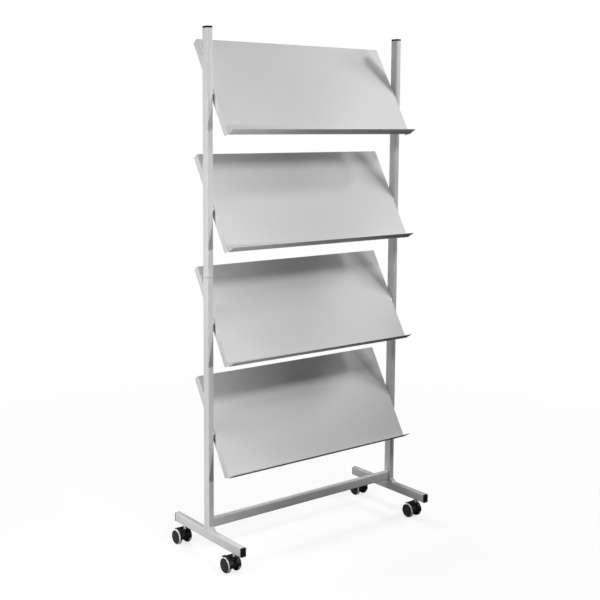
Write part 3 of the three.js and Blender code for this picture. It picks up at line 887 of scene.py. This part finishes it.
def combine(shapes, operation):
    """Joins or cuts skins one after another into a single closed skin."""
    objects = []
    for shape in shapes:
        mesh = bpy.data.meshes.new("part")
        shape.to_mesh(mesh)
        shape.free()
        part = bpy.data.objects.new("part", mesh)
        bpy.context.scene.collection.objects.link(part)
        objects.append(part)
    base, *tools = objects
    for tool in tools:
        step = base.modifiers.new("step", "BOOLEAN")
        step.object = tool
        step.operation = operation
        step.solver = "EXACT"
    evaluated = base.evaluated_get(bpy.context.evaluated_depsgraph_get())
    result = bmesh.new()
    result.from_mesh(evaluated.to_mesh())
    for part in objects:
        mesh = part.data
        bpy.data.objects.remove(part)
        bpy.data.meshes.remove(mesh)
    return result


def castor_hood(foot, braked):
    axle = axle_of(foot)
    solids = [
        mudguard(axle),
        hood_web(axle),
        round_bar(axle - X * AXLE_BOSS_HALF, axle + X * AXLE_BOSS_HALF, Y, Z, AXLE_BOSS, TURNED_EDGE),
        round_bar(foot + Z * NECK_BOTTOM, foot + Z * NECK_TOP, X, Y, NECK_RADIUS, NECK_SOFT),
    ]
    bores = [
        round_bar(axle - X * GUARD_HALF, axle + X * GUARD_HALF, Y, Z, AXLE_BORE),
        round_bar(foot + Z * (PIN_BOTTOM - BORE_PAST), foot + Z * (NECK_TOP + BORE_PAST), X, Y, PIN_BORE),
    ]
    if braked:
        pivot = foot + Y * PEDAL_PIVOT[0] + Z * PEDAL_PIVOT[1]
        solids += [pedal_ear(foot, way) for way in (-1, 1)]
        bores.append(round_bar(pivot - X * GUARD_HALF, pivot + X * GUARD_HALF, Y, Z, PEDAL_PIN_BORE))
    return combine([combine(solids, "UNION"), *bores], "DIFFERENCE")


for corner, foot in stem_feet.items():
    hood = castor_hood(foot, corner in BRAKED)
    add_piece(
        f"castor_guard_{corner}", [hood], black_plastic, f"swivel_{corner}",
        [f"castor_hood_{corner}"],
    )
    dress_node(f"castor_axle_{corner}", zinc_steel)

# Castor wheels: black moulded plastic, a dark grey cap sunk in the face and a pale grey soft tread round it.
# The black rim stands out past the tread's sloping shoulder. Both wheels of a castor turn freely on one axle.
WHEEL_INNER = 13 * MM
WHEEL_OUTER = 25.6 * MM
WHEEL_BORE = 4.3 * MM
WHEEL_BORE_END = 21.5 * MM
WHEEL_FLANGE = 0.9 * MM
WHEEL_FLANGE_RADIUS = 23.8 * MM
RIM_RADIUS = 22.7 * MM
RIM_INNER = 19.6 * MM
RIM_SOFT = 0.4 * MM
RIM_SOFT_MIDDLE = 0.12 * MM
HUB_SEAT = 24.1 * MM
HUB_BACK = 24.12 * MM
HUB_FACE = 25 * MM
HUB_RADIUS = 19.45 * MM
HUB_SOFT = 0.3 * MM
HUB_GROOVE_OUTER = 15 * MM
HUB_GROOVE_INNER = 13.6 * MM
HUB_GROOVE_DEPTH = 0.35 * MM
HUB_MIDDLE = 6.8 * MM
HUB_MIDDLE_RISE = 0.3 * MM
HUB_CENTRE = 1 * MM
TREAD_SEAT = 21.8 * MM
TREAD_INNER_FACE = WHEEL_INNER + WHEEL_FLANGE
TREAD_EDGE = 22 * MM
TREAD_OUTER_FACE = 24.4 * MM
TREAD_INNER_ROUND = 1.2 * MM
TREAD_STEPS = 8
TREAD_FALL_POWER = 1.5

hub_grey = finish_material(
    "hub_grey_plastic",
    light=(0.045, 0.045, 0.046),
    dark=(0.033, 0.033, 0.034),
    rough=(0.40, 0.55),
    bump={"strength": 0.25, "depth": 0.05 * MM},
    fine_mm=0.8,
    broad_mm=12,
    specular=0.3,
    dust={"patch": 8, "share": 0.2, "colour": (0.14, 0.136, 0.13)},
)
tread_grey = finish_material(
    "soft_tread",
    light=(0.88, 0.88, 0.86),
    dark=(0.74, 0.74, 0.72),
    rough=(0.55, 0.72),
    bump={"strength": 0.35, "depth": 0.06 * MM},
    fine_mm=0.9,
    broad_mm=10,
    rub={"patch": 5, "share": 0.35, "colour": (0.36, 0.355, 0.34)},
)


def turned_piece(axle, out, stations, around=False):
    """A skin turned about a castor's axle from (distance along it, radius) pairs."""
    return loft([turned_ring(axle + out * along, Y, Z, radius) for along, radius in stations], around)


def wheel_body(axle, out):
    """The black wheel: a thin inner flange, the seat under the tread, and the rim round the cap's seat."""
    return turned_piece(axle, out, (
        (WHEEL_BORE_END, WHEEL_BORE),
        (WHEEL_INNER, WHEEL_BORE),
        (WHEEL_INNER, WHEEL_FLANGE_RADIUS - RIM_SOFT),
        (WHEEL_INNER + RIM_SOFT, WHEEL_FLANGE_RADIUS),
        (TREAD_INNER_FACE, WHEEL_FLANGE_RADIUS),
        (TREAD_INNER_FACE, TREAD_SEAT),
        (TREAD_OUTER_FACE, TREAD_SEAT),
        (TREAD_OUTER_FACE, RIM_RADIUS),
        (WHEEL_OUTER - RIM_SOFT, RIM_RADIUS),
        (WHEEL_OUTER - RIM_SOFT_MIDDLE, RIM_RADIUS - RIM_SOFT_MIDDLE),
        (WHEEL_OUTER, RIM_RADIUS - RIM_SOFT),
        (WHEEL_OUTER, RIM_INNER + RIM_SOFT),
        (WHEEL_OUTER - RIM_SOFT, RIM_INNER),
        (HUB_SEAT, RIM_INNER),
    ))


def wheel_cap(axle, out):
    """The cap in the wheel's face: nearly flat, with a ring groove and a small raised middle."""
    return turned_piece(axle, out, (
        (HUB_BACK, HUB_RADIUS),
        (HUB_FACE - HUB_SOFT, HUB_RADIUS),
        (HUB_FACE, HUB_RADIUS - HUB_SOFT),
        (HUB_FACE, HUB_GROOVE_OUTER),
        (HUB_FACE - HUB_GROOVE_DEPTH, HUB_GROOVE_OUTER - HUB_GROOVE_DEPTH),
        (HUB_FACE - HUB_GROOVE_DEPTH, HUB_GROOVE_INNER),
        (HUB_FACE, HUB_GROOVE_INNER - HUB_GROOVE_DEPTH),
        (HUB_FACE, HUB_MIDDLE),
        (HUB_FACE + HUB_MIDDLE_RISE, HUB_MIDDLE - HUB_MIDDLE_RISE),
        (HUB_FACE + HUB_MIDDLE_RISE, HUB_CENTRE),
    ))


def soft_tread(axle, out):
    """The tread ring: rounded over at its inner side, curving off to the rim at its outer side."""
    stations = [(TREAD_INNER_FACE, TREAD_SEAT)]
    for step in range(TREAD_STEPS + 1):
        angle = math.pi / 2 * step / TREAD_STEPS
        along = TREAD_INNER_FACE + TREAD_INNER_ROUND * (1 - math.cos(angle))
        stations.append((along, WHEEL_RADIUS - TREAD_INNER_ROUND * (1 - math.sin(angle))))
    for step in range(TREAD_STEPS + 1):
        slope = step / TREAD_STEPS
        along = TREAD_EDGE + (TREAD_OUTER_FACE - TREAD_EDGE) * slope
        stations.append((along, WHEEL_RADIUS - (WHEEL_RADIUS - RIM_RADIUS) * slope ** TREAD_FALL_POWER))
    stations.append((TREAD_OUTER_FACE, TREAD_SEAT))
    return turned_piece(axle, out, stations, around=True)


for corner, foot in stem_feet.items():
    side = CORNERS[corner][0]
    for wheel_name, way in (("outer", side), ("inner", -side)):
        body = f"wheel_{corner}_{wheel_name}"
        axle, out = axle_of(foot), X * way
        core, cap, tread = wheel_body(axle, out), wheel_cap(axle, out), soft_tread(axle, out)
        place = f"{corner}_{wheel_name}"
        add_piece(f"wheel_core_{place}", [core], black_plastic, body, [body])
        add_piece(f"wheel_cap_{place}", [cap], hub_grey, body)
        add_piece(f"wheel_tread_{place}", [tread], tread_grey, body)

# Brake pedals: black moulded plastic levers on two of the castors, hinged on a pin in the ears of the hood.
# The flat lever reaches back between the wheels; a toe presses its ribbed end down to lock the castor.
PEDAL_HALF = 7 * MM
PEDAL_BARREL = 3.2 * MM
PEDAL_BARREL_HALF = 7.6 * MM
PEDAL_PIN = 1.5 * MM
PEDAL_PIN_HALF = 11.6 * MM
PEDAL_LENGTH = 29 * MM
PEDAL_THICK = 3 * MM
PEDAL_SLOPE = math.radians(-5)
PEDAL_EDGE = 0.8 * MM
PEDAL_CORNER = 2.5 * MM
PEDAL_END_SWEEP = math.radians(75)
PEDAL_END_THINNING = 0.3
PEDAL_BARREL_SOFT = 0.3 * MM
PEDAL_PIN_SOFT = 0.2 * MM
PEDAL_STEPS = 6
PEDAL_RIBS = 4
PEDAL_RIB_RADIUS = 0.5 * MM
PEDAL_RIB_HALF = 5.2 * MM
PEDAL_RIB_SOFT = 0.2 * MM
PEDAL_RIB_SUNK = 0.1 * MM
PEDAL_RIB_FIRST = 0.66
PEDAL_RIB_PITCH = 0.085


def brake_pedal(foot):
    pivot = foot + Y * PEDAL_PIVOT[0] + Z * PEDAL_PIVOT[1]
    along = Y * math.cos(PEDAL_SLOPE) + Z * math.sin(PEDAL_SLOPE)
    up = Z * math.cos(PEDAL_SLOPE) - Y * math.sin(PEDAL_SLOPE)
    plate_rings = [ring_at(pivot, rounded_outline(2 * PEDAL_HALF, PEDAL_THICK, PEDAL_EDGE), X, up)]
    for step in range(PEDAL_STEPS + 1):
        angle = PEDAL_END_SWEEP * step / PEDAL_STEPS
        inset = PEDAL_CORNER * (1 - math.cos(angle))
        spot = PEDAL_LENGTH - PEDAL_CORNER * (1 - math.sin(angle) / math.sin(PEDAL_END_SWEEP))
        thick = PEDAL_THICK - PEDAL_END_THINNING * inset
        outline = rounded_outline(2 * (PEDAL_HALF - inset), thick, PEDAL_EDGE)
        plate_rings.append(ring_at(pivot + along * spot, outline, X, up))
    barrel_reach, pin_reach = X * PEDAL_BARREL_HALF, X * PEDAL_PIN_HALF
    solids = [
        round_bar(pivot - barrel_reach, pivot + barrel_reach, Y, Z, PEDAL_BARREL, PEDAL_BARREL_SOFT),
        loft(plate_rings),
        round_bar(pivot - pin_reach, pivot + pin_reach, Y, Z, PEDAL_PIN, PEDAL_PIN_SOFT),
    ]
    for rib in range(PEDAL_RIBS):
        spot = PEDAL_LENGTH * (PEDAL_RIB_FIRST + PEDAL_RIB_PITCH * rib)
        middle = pivot + along * spot + up * (PEDAL_THICK / 2 - PEDAL_RIB_SUNK)
        ends = (middle - X * PEDAL_RIB_HALF, middle + X * PEDAL_RIB_HALF)
        solids.append(round_bar(*ends, along, up, PEDAL_RIB_RADIUS, PEDAL_RIB_SOFT))
    return combine(solids, "UNION")


for corner in BRAKED:
    pedal = brake_pedal(stem_feet[corner])
    add_piece(
        f"brake_tread_{corner}", [pedal], black_plastic, f"brake_{corner}",
        [f"brake_pedal_{corner}"],
    )

# Room: a plain pale floor that fades into a white surround, as in a small product studio.
# Soft boxes hang in front and behind, panels stand at the sides, shaped lamps light shelves, post and foot.
FLOOR_RADIUS = 14.0
FLOOR_SPOKES = 96
FLOOR_FADE = (0.9, 2.6)
FLOOR_GLOW = 0.78
FLOOR_LIGHT = (0.27, 0.27, 0.27, 1)
FLOOR_DARK = (0.23, 0.23, 0.23, 1)
FLOOR_BOUNCE = (0.02, 0.02, 0.02, 1)
WHITE = (1, 1, 1, 1)

floor_shape = bmesh.new()
bmesh.ops.create_circle(floor_shape, cap_ends=True, radius=FLOOR_RADIUS, segments=FLOOR_SPOKES)
floor_mesh = bpy.data.meshes.new("studio_floor")
floor_shape.to_mesh(floor_mesh)
floor_shape.free()
studio_floor = bpy.data.objects.new("studio_floor", floor_mesh)
bpy.context.scene.collection.objects.link(studio_floor)

pale_floor = bpy.data.materials.new("pale_floor")
pale_floor.use_nodes = True
floor_tree = pale_floor.node_tree
floor_tree.nodes.clear()
floor_out = add_node(floor_tree, "ShaderNodeOutputMaterial")
floor_grain = use_group(floor_tree, surface_grain, {"Fine mm": 40, "Broad mm": 900})
floor_colour = add_node(floor_tree, "ShaderNodeMix", data_type="RGBA")
floor_colour.inputs["A"].default_value = FLOOR_LIGHT
floor_colour.inputs["B"].default_value = FLOOR_DARK
floor_paint = add_node(floor_tree, "ShaderNodeBsdfDiffuse")
floor_glow = add_node(floor_tree, "ShaderNodeEmission", {"Color": WHITE, "Strength": FLOOR_GLOW})
floor_seen = add_node(floor_tree, "ShaderNodeAddShader")
floor_bounce = add_node(floor_tree, "ShaderNodeBsdfDiffuse", {"Color": FLOOR_BOUNCE})
floor_path = add_node(floor_tree, "ShaderNodeLightPath")
floor_pick = add_node(floor_tree, "ShaderNodeMixShader")
floor_clear = add_node(floor_tree, "ShaderNodeBsdfTransparent")
floor_mix = add_node(floor_tree, "ShaderNodeMixShader")
floor_place = add_node(floor_tree, "ShaderNodeTexCoord")
floor_reach = add_node(floor_tree, "ShaderNodeVectorMath", operation="LENGTH")
floor_fade = add_node(
    floor_tree, "ShaderNodeMapRange", {"From Min": FLOOR_FADE[0], "From Max": FLOOR_FADE[1]},
    interpolation_type="SMOOTHSTEP",
)
for source, target in (
    (floor_grain.outputs["Broad"], floor_colour.inputs["Factor"]),
    (floor_colour.outputs["Result"], floor_paint.inputs["Color"]),
    (floor_paint.outputs[0], floor_seen.inputs[0]),
    (floor_glow.outputs[0], floor_seen.inputs[1]),
    (floor_path.outputs["Is Camera Ray"], floor_pick.inputs["Fac"]),
    (floor_bounce.outputs[0], floor_pick.inputs[1]),
    (floor_seen.outputs[0], floor_pick.inputs[2]),
    (floor_place.outputs["Object"], floor_reach.inputs[0]),
    (floor_reach.outputs["Value"], floor_fade.inputs["Value"]),
    (floor_fade.outputs["Result"], floor_mix.inputs["Fac"]),
    (floor_pick.outputs[0], floor_mix.inputs[1]),
    (floor_clear.outputs[0], floor_mix.inputs[2]),
    (floor_mix.outputs[0], floor_out.inputs["Surface"]),
):
    floor_tree.links.new(source, target)
floor_mesh.materials.append(pale_floor)

SURROUND_SEEN = 1.0
SURROUND_LIGHT = 0.1

surround = bpy.data.worlds.new("white_surround")
bpy.context.scene.world = surround
surround.use_nodes = True
sky_tree = surround.node_tree
sky_tree.nodes.clear()
sky_out = add_node(sky_tree, "ShaderNodeOutputWorld")
sky_seen = add_node(sky_tree, "ShaderNodeBackground", {"Color": WHITE, "Strength": SURROUND_SEEN})
sky_light = add_node(sky_tree, "ShaderNodeBackground", {"Color": WHITE, "Strength": SURROUND_LIGHT})
sky_mix = add_node(sky_tree, "ShaderNodeMixShader")
sky_path = add_node(sky_tree, "ShaderNodeLightPath")
sky_tree.links.new(sky_path.outputs["Is Camera Ray"], sky_mix.inputs["Fac"])
sky_tree.links.new(sky_light.outputs[0], sky_mix.inputs[1])
sky_tree.links.new(sky_seen.outputs[0], sky_mix.inputs[2])
sky_tree.links.new(sky_mix.outputs[0], sky_out.inputs["Surface"])


def hang_lamp(name, light, place, aim):
    """Hangs a light at a place, turned to face a point and out of the camera's sight."""
    lamp = bpy.data.objects.new(name, light)
    lamp.location = place
    lamp.rotation_euler = (Vector(aim) - Vector(place)).to_track_quat("-Z", "Y").to_euler()
    lamp.visible_camera = False
    bpy.context.scene.collection.objects.link(lamp)
    return lamp


def soft_light(name, place, aim, size, power):
    """A square studio light."""
    light = bpy.data.lights.new(name, "AREA")
    light.shape = "SQUARE"
    light.size = size
    light.energy = power
    hang_lamp(name, light, place, aim)


for level, height, power in (("low", 0.20, 2.8), ("middle", 0.90, 4.8), ("high", 1.60, 4.6)):
    panel_place, panel_aim = (-1.20, 0.16, height), (-0.4, 0, height)
    soft_light(f"left_panel_{level}", panel_place, panel_aim, size=0.4, power=power)
soft_light("right_panel", place=(3.07, -1.12, 2.47), aim=(0, 0, 0.95), size=1.0, power=28)
soft_light("front_right_box", place=(2.70, -2.03, 2.48), aim=(0, 0, 0.9), size=0.35, power=20)
soft_light("front_box", place=(-0.43, -2.42, 2.92), aim=(0, 0, 1.0), size=0.5, power=33)
soft_light("back_box", place=(0.3, 2.0, 2.4), aim=(0, 0, 0.3), size=0.8, power=34)


def shaped_lamp(name, place, aim, radius, cone, opening, power):
    """A lamp behind an oval opening, given as the shares of its cone left open across and up."""
    light = bpy.data.lights.new(name, "SPOT")
    light.energy = power
    light.shadow_soft_size = radius
    light.spot_size = math.radians(cone)
    light.spot_blend = 1.0
    hang_lamp(name, light, place, aim).scale = (*opening, 1)


shaped_lamp(
    "slot_lamp", place=(0.25, -1.99, 0.97), aim=(-0.76, 0, 0.97),
    radius=0.02, cone=110, opening=(0.27, 1), power=81,
)
shaped_lamp(
    "upper_key", place=(1.91, -1.07, 2.98), aim=(0.05, 0, 1.58),
    radius=0.18, cone=64, opening=(1, 0.34), power=85,
)
shaped_lamp(
    "low_lamp", place=(-3.40, 0.30, 0.20), aim=(0.40, 0, 0.12),
    radius=0.2, cone=16, opening=(1, 1), power=120,
)
shaped_lamp(
    "middle_key", place=(2.23, -1.32, 2.45), aim=(0.05, 0, 0.75),
    radius=0.13, cone=64, opening=(1, 0.2), power=38,
)

# Camera: where the photographer stood, in front of the rack's left corner at about eye height.
# The lens axis points down a little, and the frame is shifted down so that the castors are in the picture.
CAMERA_PLACE = Vector((-2.2159, -2.7837, 1.4122))
CAMERA_YAW = math.radians(38.157)
CAMERA_DIP = math.radians(6.706)
CAMERA_ROLL = math.radians(0.386)
CAMERA_LENS = 63.88
CAMERA_SHIFT_Y = -0.08953
CAMERA_FAR = 100

level_ahead = Vector((math.sin(CAMERA_YAW), math.cos(CAMERA_YAW), 0))
ahead = level_ahead * math.cos(CAMERA_DIP) - Z * math.sin(CAMERA_DIP)
level_right = Vector((math.cos(CAMERA_YAW), -math.sin(CAMERA_YAW), 0))
level_up = level_right.cross(ahead)
right = level_right * math.cos(CAMERA_ROLL) + level_up * math.sin(CAMERA_ROLL)
upward = level_up * math.cos(CAMERA_ROLL) - level_right * math.sin(CAMERA_ROLL)
lens = bpy.data.cameras.new("camera")
lens.lens = CAMERA_LENS
lens.shift_y = CAMERA_SHIFT_Y
lens.clip_end = CAMERA_FAR
camera = bpy.data.objects.new("camera", lens)
camera.matrix_world = Matrix((right, upward, -ahead)).transposed().to_4x4()
camera.location = CAMERA_PLACE
bpy.context.scene.collection.objects.link(camera)
bpy.context.scene.camera = camera
bpy.context.scene.view_settings.view_transform = "Standard"
